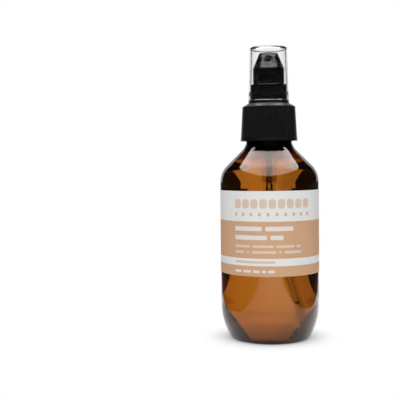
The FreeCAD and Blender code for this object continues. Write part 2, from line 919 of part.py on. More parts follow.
def make_actuator(doc, s, z):
    shell = new_body(doc, "actuator_shell")
    top = s.actuator_side + s.cone_height
    socket = s.stem_radius + s.bearing_gap
    roof = top - s.socket_drop
    skirt_bore = s.actuator_radius - s.actuator_wall
    cavity_top = s.actuator_side + s.cavity_slope_height - s.actuator_wall
    hub_bottom = s.sliding_gap + roof - s.hub_drop
    channel_top = top - s.nozzle_drop + s.channel_radius
    turned(
        shell,
        "actuator_wall",
        [
            (s.stem_bore, roof),
            (socket, roof),
            (socket, hub_bottom),
            (s.hub_radius, hub_bottom),
            (s.hub_radius, cavity_top),
            (s.cavity_top_radius, cavity_top),
            (skirt_bore, s.actuator_side - s.actuator_wall),
            (skirt_bore, 0),
            (s.actuator_radius, 0),
            (s.actuator_radius, s.actuator_side),
            (s.cone_top_radius, top),
            (0, top),
            (0, channel_top),
            (s.stem_bore, channel_top),
        ],
    )
    round_rims(shell, "top_corner", s.actuator_fillet, (s.cone_top_radius, top))
    round_rims(shell, "cone_foot", s.actuator_fillet, (s.actuator_radius, s.actuator_side))
    cut_outlet(shell, s, top - s.nozzle_drop)
    actuator = doc.addObject("Part::Cut", "actuator")
    actuator.Label = "actuator"
    actuator.Base = shell
    actuator.Tool = make_recess_tool(doc, s, top)
    lift(actuator, z.actuator)


def cut_outlet(shell, s, height):
    """The channel from the core to the front, and the seat of the nozzle insert."""
    front = insert_front(s)
    depth = front - s.insert_length
    channel = new_sketch(shell, "channel_circle")
    draw_circle(channel, s.channel_radius, 0, height)
    prism(shell, "channel", channel, depth + s.insert_length / 2, kind="Pocket", reverse=True)
    shell.Document.recompute()
    seat = new_sketch(shell, "seat_circle", height=depth)
    draw_circle(seat, s.insert_radius + s.press_gap, 0, height)
    prism(shell, "insert_seat", seat, s.actuator_radius, kind="Pocket", reverse=True)
    shell.Document.recompute()


def cone_radius(s, drop):
    """Radius of the actuator's cone at that distance below its top."""
    taper = (s.actuator_radius - s.cone_top_radius) / s.cone_height
    return s.cone_top_radius + taper * drop


def insert_front(s):
    """How far the nozzle insert's face stands from the actuator's axis."""
    return cone_radius(s, s.nozzle_drop) - s.recess_depth + s.turning_gap


def make_recess_tool(doc, s, top):
    """A teardrop prism with the inner cone taken out, so that the recess follows the cone."""
    body = new_body(doc, "teardrop_prism")
    sketch = new_sketch(body, "teardrop")
    draw_outline(sketch, teardrop_outline(s, top - s.nozzle_drop))
    prism(body, "teardrop_pad", sketch, s.actuator_radius * 2)
    inner_cone = doc.addObject("Part::Cone", "recess_floor")
    inner_cone.setExpression("Radius1", (s.actuator_radius - s.recess_depth).text)
    inner_cone.setExpression("Radius2", (s.cone_top_radius - s.recess_depth).text)
    inner_cone.setExpression("Height", s.cone_height.text)
    lift(inner_cone, s.actuator_side)
    tool = doc.addObject("Part::Cut", "recess_tool")
    tool.Base = body
    tool.Tool = inner_cone
    return tool


def teardrop_outline(s, height):
    """A round bulb about the nozzle that narrows to a rounded tail below it."""
    lean = arcsine((s.recess_radius - s.tail_radius) / s.recess_tail)
    bulb_x = s.recess_radius * cosine(lean)
    bulb_y = height - s.recess_radius * sine(lean)
    tail_x = s.tail_radius * cosine(lean)
    tail_y = height - s.recess_tail - s.tail_radius * sine(lean)
    tip = height - s.recess_tail - s.tail_radius
    return [
        (bulb_x, bulb_y),
        (0, height + s.recess_radius, s.recess_radius, LEFT),
        (-bulb_x, bulb_y, s.recess_radius, LEFT),
        (-tail_x, tail_y),
        (0, tip, s.tail_radius, LEFT),
        (tail_x, tail_y, s.tail_radius, LEFT),
    ]


def make_nozzle_insert(doc, s, z):
    """A plug in the outlet whose small front hole sets the jet."""
    body = new_body(doc, "nozzle_insert")
    front = insert_front(s)
    face = s.orifice_radius * 2
    turned(
        body,
        "insert_wall",
        [
            (s.channel_radius, front - s.insert_length + s.press_gap),
            (s.insert_radius, front - s.insert_length + s.press_gap),
            (s.insert_radius, front),
            (s.orifice_radius, front),
            (s.orifice_radius, front - face),
            (s.channel_radius, front - face),
        ],
    )
    body.Placement.Rotation = FreeCAD.Rotation(FreeCAD.Vector(1, 0, 0), 90)
    lift(body, z.nozzle)


# Overcap.


def make_overcap(doc, s, z):
    body = new_body(doc, "overcap")
    grip = s.collar_radius + s.grip_gap
    top = z.overcap_top - z.overcap
    inside_top = top - s.cap_top
    rim_top = s.cap_rim_height + s.cap_rim_step
    turned(
        body,
        "overcap_wall",
        [
            (grip, 0),
            (s.cap_rim_radius, 0),
            (s.cap_rim_radius, s.cap_rim_height),
            (s.cap_base_radius, rim_top),
            (s.cap_top_radius, top),
            (s.cap_gate_radius, top),
            (s.cap_gate_radius, top - s.cap_gate_depth),
            (0, top - s.cap_gate_depth),
            (0, inside_top),
            (s.cap_top_radius - s.cap_wall, inside_top),
            (grip, s.collar_height + s.turning_gap),
        ],
    )
    round_rims(body, "cap_corner", s.cap_corner, (s.cap_top_radius, top))
    inner_corner = s.cap_top_radius - s.cap_wall
    round_rims(body, "inner_corner", s.cap_corner / 2, (inner_corner, inside_top))
    round_rims(body, "rim_edge", s.collar_fillet, (s.cap_rim_radius, 0))
    lift(body, z.overcap)


NODES = [
    "bottle",
    "wrap_label",
    "neck_gasket",
    "pump_housing",
    "gland",
    "collar",
    "closure",
    "dip_tube",
    "inlet_ball",
    "stem",
    "piston_rod",
    "piston_seal",
    "return_spring",
    "actuator",
    "nozzle_insert",
    "overcap",
]


def build(doc):
    s = Sheet(doc)
    doc.recompute()
    z = Levels(s)
    make_bottle(doc, s, z)
    make_wrap_label(doc, s)
    make_neck_gasket(doc, s, z)
    make_pump_housing(doc, s, z)
    make_gland(doc, s, z)
    make_collar(doc, s, z)
    make_closure(doc, s, z)
    make_dip_tube(doc, s, z)
    make_inlet_ball(doc, s, z)
    make_stem(doc, s, z)
    make_piston_rod(doc, s, z)
    make_piston_seal(doc, s, z)
    make_return_spring(doc, s, z)
    make_actuator(doc, s, z)
    make_nozzle_insert(doc, s, z)
    make_overcap(doc, s, z)
    doc.recompute()


def check(doc):
    """Stops if any object failed, or a sub-part has no sound solid."""
    for item in doc.Objects:
        if "Invalid" in item.State or "Error" in item.State:
            raise RuntimeError(f"{item.Name} failed: {item.State}")
    for name in NODES:
        shape = doc.getObject(name).Shape
        if shape.isNull() or not shape.isValid() or len(shape.Solids) != 1:
            raise RuntimeError(f"{name} has no sound solid")


def write(doc):
    os.makedirs("parts", exist_ok=True)
    for name in NODES:
        shape = doc.getObject(name).Shape
        shape.exportStep(os.path.join("parts", name + ".step"))
        box = shape.BoundBox
        print(f"{name:15s} {shape.Volume:10.2f} mm3   z {box.ZMin:8.3f} to {box.ZMax:8.3f}")


document = FreeCAD.newDocument("PumpOilBottle")
build(document)
check(document)
write(document)
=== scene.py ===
"""Looks of the pump oil bottle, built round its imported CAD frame. Metres and radians throughout."""

import math

import bpy
from mathutils import Matrix, Vector


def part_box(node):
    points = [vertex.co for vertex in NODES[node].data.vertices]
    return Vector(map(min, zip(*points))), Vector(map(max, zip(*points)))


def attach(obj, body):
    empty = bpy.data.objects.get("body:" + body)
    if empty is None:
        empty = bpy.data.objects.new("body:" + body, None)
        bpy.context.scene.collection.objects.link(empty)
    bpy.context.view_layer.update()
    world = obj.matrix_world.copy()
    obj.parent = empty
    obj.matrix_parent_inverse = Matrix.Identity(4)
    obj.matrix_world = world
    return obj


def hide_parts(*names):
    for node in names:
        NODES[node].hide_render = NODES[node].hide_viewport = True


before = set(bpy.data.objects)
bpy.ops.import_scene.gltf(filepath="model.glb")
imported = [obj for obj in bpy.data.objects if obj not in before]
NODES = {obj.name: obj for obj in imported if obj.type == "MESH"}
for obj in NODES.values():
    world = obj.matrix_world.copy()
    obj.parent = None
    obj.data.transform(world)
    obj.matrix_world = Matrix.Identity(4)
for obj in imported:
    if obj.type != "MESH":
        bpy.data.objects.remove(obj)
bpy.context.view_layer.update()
MM = 0.001

# Levels and radii that come from the frame.

BOTTLE_LOW, BOTTLE_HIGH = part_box("bottle")
LABEL_LOW, LABEL_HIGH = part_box("wrap_label")
CLOSURE_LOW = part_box("closure")[0]
TUBE_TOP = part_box("dip_tube")[1].z
HOUSING_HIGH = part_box("pump_housing")[1]
BODY_RADIUS = BOTTLE_HIGH.x
LABEL_RADIUS = LABEL_HIGH.x

# Sizes that the frame's boxes don't give: the bottle's outline, the dip tube's run, the threads.

HEEL_RADIUS = 28 * MM
HEEL_HEIGHT = 15.9 * MM
FOOT_RIM_RADIUS = 16.46 * MM
FOOT_RIM_ROUND = 0.6 * MM
FOOT_ROUND = 0.9 * MM
PUSH_UP = 2.6 * MM
BODY_WALL = 0.6 * MM
FLOOR_THICKNESS = 1.0 * MM
SHOULDER_HEIGHT = 77.2 * MM
SHOULDER_RADIUS = 11.1 * MM
SHOULDER_ANGLE = math.radians(45.2)
INNER_ANGLE = math.radians(46.5)
NECK_RADIUS = 10.9 * MM
NECK_BLEND = 9.0 * MM
NECK_STEP = 0.8 * MM
FINISH_RADIUS = 10.8 * MM
BORE_RADIUS = 9.4 * MM
BORE_BLEND = 5.0 * MM
GATE_RADIUS = 1.5 * MM
GATE_HEIGHT = 0.5 * MM
OIL_INSET = 0.3 * MM
OIL_FLOOR = 0.5 * MM
OIL_LEVEL = 88.0 * MM

CUP_RADIUS = 9.0 * MM
FLANGE_RADIUS = 11.0 * MM
FLANGE_THICKNESS = 1.2 * MM
CUP_DEPTH = 3.4 * MM
PUMP_BORE = 3.6 * MM
PUMP_WALL = 1.0 * MM
PUMP_FLOOR = 92.9 * MM
BALL_CHAMBER = 1.95 * MM
CHAMBER_WALL = 0.6 * MM
INLET = 88.16 * MM
TAIL_LOW = 76.9 * MM

TUBE_BORE = 1.1 * MM
TUBE_SOCKET = 4.0 * MM
TUBE_BEND = 120 * MM
TUBE_LEAN = math.radians(12.0)
AIR_COLUMN = (2 * MM, 60 * MM)
AIR_BUBBLE = (62 * MM, 63.6 * MM)
BUBBLE_SHARE = 0.97

# The label's bands, and its rows of plain bars: the height of their middle above the label's lower
# edge, how tall they are, how strongly they are printed, how wide each is, and the gap between.

LABEL_STRIPE = (5.0 * MM, 8.5 * MM)
LABEL_FIELD = 25.9 * MM
PRINT_START = -17.8 * MM
PRINT_ROWS = [
    (34.2 * MM, 4.4 * MM, 0.6, [3.5 * MM] * 9, 0.85 * MM),
    (29.2 * MM, 1.7 * MM, 0.8, [1.4 * MM] * 10, 2.72 * MM),
    (22.5 * MM, 2.1 * MM, 0.85, [14.2 * MM, 13.6 * MM], 1.6 * MM),
    (18.3 * MM, 2.1 * MM, 0.85, [16.6 * MM, 6.2 * MM], 1.6 * MM),
    (14.2 * MM, 1.2 * MM, 0.5, [8.2 * MM, 10.2 * MM, 9.0 * MM, 2.4 * MM], 1.2 * MM),
    (11.5 * MM, 1.2 * MM, 0.5, [5.2 * MM, 1.0 * MM, 11.6 * MM, 1.0 * MM, 8.8 * MM], 1.5 * MM),
    (6.8 * MM, 1.2 * MM, 0.6, [20.4 * MM], 1.2 * MM),
    (2.4 * MM, 1.2 * MM, 0.8, [3.6 * MM, 4.0 * MM, 3.2 * MM, 1.8 * MM, 3.2 * MM], 1.1 * MM),
]

THREAD_PITCH = 3.175 * MM
THREAD_TURNS = 1.5
THREAD_RISE = 6.5 * MM
NECK_THREAD = (10.7 * MM, 11.8 * MM)
CLOSURE_THREAD = (12.1 * MM, 11.0 * MM)

SEGMENTS = 192
ON_AXIS = 0.0001 * MM


# Shapes.


def arc(centre, radius, start, end, steps=24):
    """Points of an arc in the (radius, height) plane, from one angle to another."""
    angles = [start + (end - start) * i / steps for i in range(steps + 1)]
    return [(centre[0] + radius * math.cos(a), centre[1] + radius * math.sin(a)) for a in angles]


def foot(inset, floor):
    """The outline from the middle of the floor over the arch and round the heel, moved inwards."""
    arch = (FOOT_RIM_RADIUS**2 + PUSH_UP**2) / (2 * PUSH_UP)
    dome = arch + floor
    dome_centre = PUSH_UP - arch
    dome_end = math.asin((floor - dome_centre) / dome)
    heel = HEEL_RADIUS - inset
    heel_start = -math.asin((HEEL_HEIGHT - floor) / heel)
    under = arc((0, dome_centre), dome, math.pi / 2, dome_end)
    side = arc((BODY_RADIUS - HEEL_RADIUS, HEEL_HEIGHT), heel, heel_start, 0)
    flat = [under[-1], side[0]]
    return rounded(rounded(under, flat, FOOT_RIM_ROUND), side, FOOT_ROUND)


def rounded(before, after, reach, steps=6):
    """Joins two runs of an outline that meet in a corner by a curve that starts short of it."""
    corner = before[-1]
    first = [p for p in before[:-1] if math.dist(p, corner) > reach]
    last = [p for p in after[1:] if math.dist(p, corner) > reach]
    ends = []
    for point in (first[-1], last[0]):
        share = reach / math.dist(point, corner)
        ends.append([c + (p - c) * share for p, c in zip(point, corner)])
    controls = (ends[0], corner, ends[1])
    curve = []
    for i in range(steps + 1):
        t = i / steps
        weights = ((1 - t) ** 2, 2 * t * (1 - t), t * t)
        curve.append(tuple(sum(w * p[k] for w, p in zip(weights, controls)) for k in (0, 1)))
    return [*first, *curve, *last]


def shoulder(inset, angle, neck, blend):
    """The outline up the shoulder's round, its slope and the hollow round into the neck."""
    centre = (BODY_RADIUS - SHOULDER_RADIUS, SHOULDER_HEIGHT)
    radius = SHOULDER_RADIUS - inset
    reach = radius + blend
    run = centre[0] - neck - blend + reach * math.cos(angle)
    top = centre[1] + reach * math.sin(angle) + run / math.tan(angle)
    return [
        *arc(centre, radius, 0, angle, 32),
        *arc((neck + blend, top), blend, math.pi + angle, math.pi, 32),
    ]


def cut_flat(outline, level):
    """The part of a rising outline below a level, closed by a flat top."""
    low = [p for p in outline if p[1] < level]
    (r0, z0), (r1, z1) = low[-1], outline[len(low)]
    edge = r0 + (r1 - r0) * (level - z0) / (z1 - z0)
    return [*low, (edge, level), (0, level)]


def lathe(name, outline, segments=SEGMENTS):
    """A closed solid turned about Z from an outline whose two ends are on the axis."""
    verts = []
    rings = []
    for radius, height in outline:
        if radius < ON_AXIS:
            rings.append([len(verts)])
            verts.append((0, 0, height))
            continue
        first = len(verts)
        rings.append(list(range(first, first + segments)))
        for i in range(segments):
            a = 2 * math.pi * i / segments
            verts.append((radius * math.sin(a), -radius * math.cos(a), height))
    faces = []
    for low, high in zip(rings, rings[1:]):
        for i in range(segments):
            j = (i + 1) % segments
            if len(low) == 1:
                faces.append((low[0], high[j], high[i]))
            elif len(high) == 1:
                faces.append((low[i], low[j], high[0]))
            else:
                faces.append((low[i], low[j], high[j], high[i]))
    return mesh_object(name, verts, faces)


def mesh_object(name, verts, faces, smooth=math.radians(35)):
    """A smooth-shaded mesh whose edges stay sharp where faces meet at more than an angle."""
    mesh = bpy.data.meshes.new(name)
    mesh.from_pydata([tuple(v) for v in verts], [], faces)
    mesh.validate()
    mesh.update()
    mesh.shade_smooth()
    mesh.set_sharp_from_angle(angle=smooth)
    piece = bpy.data.objects.new(name, mesh)
    bpy.context.scene.collection.objects.link(piece)
    return piece


def tube_line(start, end, steps=60):
    """Centre line of the dip tube between two distances from its upper end."""
    bend_length = TUBE_BEND * TUBE_LEAN
    points = []
    for i in range(steps + 1):
        s = start + (end - start) * i / steps
        turned = min(max(s - TUBE_SOCKET, 0), bend_length) / TUBE_BEND
        rest = max(s - TUBE_SOCKET - bend_length, 0)
        x = TUBE_BEND * (1 - math.cos(turned)) + rest * math.sin(turned)
        z = min(s, TUBE_SOCKET) + TUBE_BEND * math.sin(turned) + rest * math.cos(turned)
        points.append((Vector((x, 0, TUBE_TOP - z)), turned))
    return points


def capsule(name, line, radius, sides=24, cap_steps=6):
    """A round rod along a leaning line, with a round end at both ends."""
    tip = 0.02 * radius
    rings = []
    first, last = line[0], line[-1]
    for k in range(cap_steps):
        a = math.pi / 2 * k / cap_steps
        rings.append((first, radius * math.sin(a), -radius * math.cos(a)))
    rings += [(point, radius, 0) for point in line]
    for k in range(cap_steps):
        a = math.pi / 2 * (k + 1) / cap_steps
        rings.append((last, radius * math.cos(a), radius * math.sin(a)))
    verts = []
    for (centre, lean), ring_radius, along in rings:
        down = Vector((math.sin(lean), 0, -math.cos(lean)))
        side = Vector((math.cos(lean), 0, math.sin(lean)))
        for i in range(sides):
            a = 2 * math.pi * i / sides
            offset = side * math.cos(a) + Vector((0, math.sin(a), 0))
            verts.append(centre + down * along + offset * max(ring_radius, tip))
    faces = []
    for k in range(len(rings) - 1):
        for i in range(sides):
            j = (i + 1) % sides
            faces.append((k * sides + i, k * sides + j, (k + 1) * sides + j, (k + 1) * sides + i))
    faces.append(tuple(range(sides - 1, -1, -1)))
    faces.append(tuple((len(rings) - 1) * sides + i for i in range(sides)))
    return mesh_object(name, verts, faces, math.radians(60))


def thread(name, root_radius, crest_radius, start_height, steps_per_turn=72):
    """A screw thread, outwards or inwards: one ridge that fades in and out at its ends."""
    steps = round(THREAD_TURNS * steps_per_turn)
    outwards = 1 if crest_radius > root_radius else -1
    half_root = 0.40 * THREAD_PITCH * outwards
    half_crest = 0.15 * THREAD_PITCH * outwards
    fade = steps_per_turn // 8
    lowest_share = 0.05
    verts = []
    for i in range(steps + 1):
        a = 2 * math.pi * i / steps_per_turn
        z = start_height + THREAD_PITCH * i / steps_per_turn
        share = min(1, max(lowest_share, min(i, steps - i) / fade))
        crest = root_radius + (crest_radius - root_radius) * share
        section = [
            (root_radius, -half_root),
            (crest, -half_crest),
            (crest, half_crest),
            (root_radius, half_root),
        ]
        for radius, dz in section:
            verts.append((radius * math.cos(a), radius * math.sin(a), z + dz))
    faces = [(3, 2, 1, 0), tuple(4 * steps + k for k in range(4))]
    for i in range(steps):
        for k in range(4):
            a, b = 4 * i + k, 4 * i + (k + 1) % 4
            faces.append((a, b, b + 4, a + 4))
    return mesh_object(name, verts, faces)


# Materials.

# The amber bottle's tint: how fast it deepens in the shoulder, the neck and the foot, from or up to
# which height, and how much of each colour it takes. It deepens partly for the thicker wall and partly
# as
# painted shade: the closure's shade over the shoulder and neck, and the shade under the bottle at its
# foot.

SHOULDER_TINT_START = 82.0 * MM
SHOULDER_TINT_SLOPE = 85
NECK_TINT_START = 91.0 * MM
NECK_TINT_RATE = 300000
FOOT_TINT_END = 12.5 * MM
FOOT_TINT_SLOPE = 60
TINT_SHARES = (0.85, 1.05, 1.6)

PET_INDEX = 1.57
OIL_INDEX = 1.47
PLASTIC_INDEX = 1.49
WET_INDEX = 1.03


def srgb(red, green, blue):
    """Scene colour of an 8-bit display colour."""
    def linear(v):
        v /= 255
        return v / 12.92 if v <= 0.04045 else ((v + 0.055) / 1.055) ** 2.4

    return (linear(red), linear(green), linear(blue), 1)


class Look:
    """A node material with a Principled shader and short ways of adding nodes to it."""

    def __init__(self, name, colour, roughness, **settings):
        self.material = bpy.data.materials.new(name)
        self.material.use_nodes = True
        self.tree = self.material.node_tree
        self.shader = self.tree.nodes["Principled BSDF"]
        self.shader.inputs["Base Color"].default_value = colour
        self.shader.inputs["Roughness"].default_value = roughness
        for key, value in settings.items():
            self.shader.inputs[key.replace("_", " ")].default_value = value
        self.place = self.node("ShaderNodeTexCoord").outputs["Object"]

    def node(self, kind, **settings):
        node = self.tree.nodes.new(kind)
        for key, value in settings.items():
            setattr(node, key, value)
        return node

    def join(self, source, target):
        """Links a socket to another, or sets it to a number or a colour."""
        if isinstance(source, (int, float, tuple)):
            target.default_value = source
        else:
            self.tree.links.new(source, target)

    def axes(self):
        """The X, Y and Z of the place on the piece."""
        split = self.node("ShaderNodeSeparateXYZ")
        self.join(self.place, split.inputs[0])
        return split.outputs

    def math(self, operation, *values):
        node = self.node("ShaderNodeMath", operation=operation)
        for value, socket in zip(values, node.inputs):
            self.join(value, socket)
        return node.outputs[0]

    def noise(self, scale, detail=3.0, stretch=None):
        place = self.place
        if stretch:
            mapping = self.node("ShaderNodeMapping")
            mapping.inputs["Scale"].default_value = stretch
            self.tree.links.new(place, mapping.inputs["Vector"])
            place = mapping.outputs[0]
        node = self.node("ShaderNodeTexNoise")
        node.inputs["Scale"].default_value = scale
        node.inputs["Detail"].default_value = detail
        self.tree.links.new(place, node.inputs["Vector"])
        return node.outputs["Fac"]

    def spread(self, value, low, high):
        """Maps 0..1 to low..high."""
        node = self.node("ShaderNodeMapRange")
        self.join(value, node.inputs["Value"])
        node.inputs["To Min"].default_value = low
        node.inputs["To Max"].default_value = high
        return node.outputs["Result"]

    def ramp(self, value, places, levels):
        """A smooth change from one level to another between two places."""
        node = self.node("ShaderNodeMapRange", interpolation_type="SMOOTHSTEP")
        self.join(value, node.inputs["Value"])
        node.inputs["From Min"].default_value, node.inputs["From Max"].default_value = places
        node.inputs["To Min"].default_value, node.inputs["To Max"].default_value = levels
        return node.outputs["Result"]

    def mix(self, factor, first, second):
        node = self.node("ShaderNodeMix", data_type="RGBA")
        self.join(factor, node.inputs["Factor"])
        self.join(first, node.inputs[6])
        self.join(second, node.inputs[7])
        return node.outputs[2]

    def bars(self, across, height, middle, tall, widths, gap):
        """1 on a row of bars with round corners, 0 beside them."""
        corner = tall * 0.3

        def beyond(place, centre, half):
            away = self.math("ABSOLUTE", self.math("SUBTRACT", place, centre))
            return self.math("MAXIMUM", self.math("SUBTRACT", away, half - corner), 0.0)

        rise = beyond(height, middle, tall / 2)
        rise = self.math("MULTIPLY", rise, rise)
        total = 0.0
        start = 0.0
        for width in widths:
            side = beyond(across, start + width / 2, width / 2)
            reach = self.math("ADD", self.math("MULTIPLY", side, side), rise)
            total = self.math("ADD", self.math("LESS_THAN", reach, corner * corner), total)
            start += width + gap
        return total

    def colour(self, value):
        self.join(value, self.shader.inputs["Base Color"])

    def roughness(self, value):
        self.join(value, self.shader.inputs["Roughness"])

    def bump(self, height, strength, distance):
        node = self.node("ShaderNodeBump")
        node.inputs["Strength"].default_value = strength
        node.inputs["Distance"].default_value = distance
        self.join(height, node.inputs["Height"])
        self.tree.links.new(node.outputs[0], self.shader.inputs["Normal"])

    def absorb(self, colour, density):
        node = self.node("ShaderNodeVolumeAbsorption")
        node.inputs["Color"].default_value = (*colour, 1)
        node.inputs["Density"].default_value = density
        output = self.tree.nodes["Material Output"]
        self.tree.links.new(node.outputs[0], output.inputs["Volume"])


def amber_pet():
    """Clear amber, darker up the shoulder, in the neck and round the foot, partly for the thicker wall
    and partly as painted shade.
    """
    look = Look("amber_pet", (1, 1, 1, 1), 0.015, IOR=PET_INDEX, Transmission_Weight=1.0)
    look.shader.inputs["Specular Tint"].default_value = (0.5, 0.5, 0.5, 1)
    look.absorb((0.83, 0.61, 0.2), 4200)
    # Painted shade: the tint deepens with height up the shoulder and into the neck under the closure,
    # and towards the foot, more than the thicker wall alone gives.
    height = look.axes()["Z"]
    shoulder_part, neck_part = (
        look.math("MAXIMUM", look.math("SUBTRACT", height, start), 0.0)
        for start in (SHOULDER_TINT_START, NECK_TINT_START)
    )
    extra = look.math("MULTIPLY", look.math("MULTIPLY", neck_part, neck_part), NECK_TINT_RATE)
    foot_part = look.math("MAXIMUM", look.math("SUBTRACT", FOOT_TINT_END, height), 0.0)
    depth = look.math("ADD", look.math("MULTIPLY", shoulder_part, SHOULDER_TINT_SLOPE), extra)
    depth = look.math("ADD", depth, look.math("MULTIPLY", foot_part, FOOT_TINT_SLOPE))
    mixed = look.node("ShaderNodeCombineColor")
    for share, socket in zip(TINT_SHARES, mixed.inputs):
        look.join(look.math("EXPONENT", look.math("MULTIPLY", depth, -share)), socket)
    look.colour(mixed.outputs[0])
    look.bump(look.noise(60, 1.0, (1, 1, 0.5)), 0.04, 0.5 * MM)
    return look.material


def oil():
    """Clear yellow oil."""
    look = Look("oil", (1, 1, 1, 1), 0.0, IOR=OIL_INDEX, Transmission_Weight=1.0)
    look.shader.inputs["Specular Tint"].default_value = (0.2, 0.2, 0.2, 1)
    look.absorb((0.91, 0.82, 0.11), 12)
    look.roughness(look.spread(look.noise(90), 0.0, 0.01))
    return look.material


def black_plastic(name="black_plastic", roughness=0.2):
    """Moulded black plastic of the closure, collar and actuator."""
    look = Look(name, srgb(14, 14, 14), roughness, IOR=PLASTIC_INDEX)
    look.colour(look.mix(look.noise(300), srgb(8, 8, 8), srgb(14, 14, 14)))
    look.roughness(look.spread(look.noise(500), roughness * 0.8, roughness * 1.2))
    look.bump(look.noise(900, 1.0), 0.02, 0.02 * MM)
    return look.material


def clear_plastic():
    """The overcap's glass-clear plastic."""
    look = Look("clear_plastic", (1, 1, 1, 1), 0.01, IOR=PLASTIC_INDEX, Transmission_Weight=1.0)
    look.absorb((0.93, 0.95, 0.95), 25)
    look.roughness(look.spread(look.noise(150), 0.005, 0.02))
    return look.material


def clear_tube():
    """The dip tube, whose index is given against the oil that it stands in."""
    look = Look("clear_tube", (0.82, 0.82, 0.82, 1), 0.02, IOR=WET_INDEX, Transmission_Weight=1.0)
    look.absorb((0.9, 0.9, 0.9), 30)
    look.roughness(look.spread(look.noise(300), 0.01, 0.04))
    return look.material


def wet_plastic():
    """Natural plastic in the oil, where its surface hardly bends the light."""
    look = Look("wet_plastic", (0.8, 0.8, 0.8, 1), 0.05, IOR=WET_INDEX, Transmission_Weight=0.9)
    look.roughness(look.spread(look.noise(300), 0.03, 0.08))
    return look.material


def air_in_oil():
    """Air as it is seen from within the oil."""
    look = Look("air_in_oil", (1, 1, 1, 1), 0.0, IOR=1 / OIL_INDEX, Transmission_Weight=1.0)
    look.roughness(look.spread(look.noise(400), 0.0, 0.01))
    return look.material


def natural_plastic(name="natural_plastic"):
    """Uncoloured, cloudy plastic of the pump's inner pieces."""
    look = Look(name, srgb(212, 212, 206), 0.4, IOR=PLASTIC_INDEX)
    look.colour(look.mix(look.noise(200), srgb(206, 206, 200), srgb(218, 218, 212)))
    look.bump(look.noise(2500), 0.04, 0.05 * MM)
    return look.material


def foam_liner():
    look = Look("foam_liner", srgb(236, 236, 232), 0.8)
    look.colour(look.mix(look.noise(700), srgb(228, 228, 224), srgb(243, 243, 240)))
    look.bump(look.noise(3500, 4.0), 0.3, 0.1 * MM)
    return look.material


def steel():
    look = Look("steel", srgb(200, 200, 204), 0.25, Metallic=1.0)
    look.roughness(look.spread(look.noise(900), 0.18, 0.32))
    return look.material


def label_film():
    """White and tan bands, with rows of plain bars where such a label has its words."""
    look = Look("label_film", srgb(222, 222, 220), 0.5, IOR=1.5)
    axes = look.axes()
    height = look.math("SUBTRACT", axes["Z"], LABEL_LOW.z)
    turn = look.math("ARCTAN2", axes["X"], look.math("MULTIPLY", axes["Y"], -1.0))
    across = look.math("SUBTRACT", look.math("MULTIPLY", turn, LABEL_RADIUS), PRINT_START)
    low, high = (look.math("GREATER_THAN", height, edge) for edge in LABEL_STRIPE)
    above = look.math("GREATER_THAN", height, LABEL_FIELD)
    field = look.math("SUBTRACT", look.math("ADD", look.math("SUBTRACT", 1.0, above), high), low)
    grain = look.noise(400)
    paper = look.mix(grain, srgb(222, 222, 220), srgb(228, 228, 226))
    tan = look.mix(grain, srgb(202, 158, 121), srgb(206, 163, 126))
    coat = look.mix(field, paper, tan)
    for middle, tall, ink, widths, gap in PRINT_ROWS:
        dark = middle > LABEL_FIELD or LABEL_STRIPE[0] < middle < LABEL_STRIPE[1]
        bars = look.bars(across, height, middle, tall, widths, gap)
        coat = look.mix(look.math("MULTIPLY", bars, ink), coat, tan if dark else paper)
    look.colour(coat)
    look.bump(look.noise(1500), 0.05, 0.03 * MM)
    return look.material


# Pieces.


def add_bottle(material):
    """The bottle with its wall growing thicker up the shoulder, as it does where less is blown."""
    outer = shoulder(0, SHOULDER_ANGLE, NECK_RADIUS, NECK_BLEND)
    inner = shoulder(BODY_WALL, INNER_ANGLE, BORE_RADIUS, BORE_BLEND)
    gate = PUSH_UP - GATE_HEIGHT
    step = outer[-1][1] + NECK_STEP
    outline = [
        (0, gate),
        (GATE_RADIUS, gate),
        *[p for p in foot(0, 0) if p[0] > GATE_RADIUS],
        *outer,
        (NECK_RADIUS, step),
        (FINISH_RADIUS, step),
        (FINISH_RADIUS, BOTTLE_HIGH.z),
        (BORE_RADIUS, BOTTLE_HIGH.z),
        *reversed(inner),
        *reversed(foot(BODY_WALL, FLOOR_THICKNESS)),
    ]
    piece = lathe("bottle_shell", outline)
    piece.data.materials.append(material)
    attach(piece, "bottle_body")
    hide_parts("bottle")


def add_housing(dry, wet):
    """The pump housing: flange, cup, cylinder, ball chamber and the tail that holds the dip tube."""
    top = HOUSING_HIGH.z
    flange = top - FLANGE_THICKNESS
    cup = top - CUP_DEPTH
    tail = BALL_CHAMBER + CHAMBER_WALL
    cylinder = PUMP_BORE + PUMP_WALL
    outline = [
        (TUBE_BORE, TAIL_LOW),
        (tail, TAIL_LOW),
        (tail, OIL_LEVEL),
        (tail, PUMP_FLOOR - PUMP_WALL),
        (cylinder, PUMP_FLOOR - PUMP_WALL),
        (cylinder, cup - PUMP_WALL),
        (CUP_RADIUS, cup - PUMP_WALL),
        (CUP_RADIUS, flange),
        (FLANGE_RADIUS, flange),
        (FLANGE_RADIUS, top),
        (CUP_RADIUS - PUMP_WALL, top),
        (CUP_RADIUS - PUMP_WALL, cup),
        (PUMP_BORE, cup),
        (PUMP_BORE, PUMP_FLOOR),
        (BALL_CHAMBER, PUMP_FLOOR),
        (BALL_CHAMBER, INLET + BALL_CHAMBER - TUBE_BORE),
        (TUBE_BORE, INLET),
        (TUBE_BORE, TAIL_LOW),
    ]
    piece = lathe("housing_wall", outline, 96)
    piece.data.materials.append(dry)
    piece.data.materials.append(wet)
    for face in piece.data.polygons:
        if face.center.z < OIL_LEVEL and math.hypot(*face.center.xy) > TUBE_BORE:
            face.material_index = 1
    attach(piece, "pump_body")
    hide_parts("pump_housing")


def add_oil():
    """The oil, whose surface lies within the bottle's wall, so that no air shows between them."""
    side = shoulder(OIL_INSET, SHOULDER_ANGLE, NECK_RADIUS, NECK_BLEND)
    piece = lathe("oil", cut_flat([*foot(OIL_INSET, OIL_FLOOR), *side], OIL_LEVEL))
    piece.data.materials.append(oil())
    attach(piece, "bottle_body")


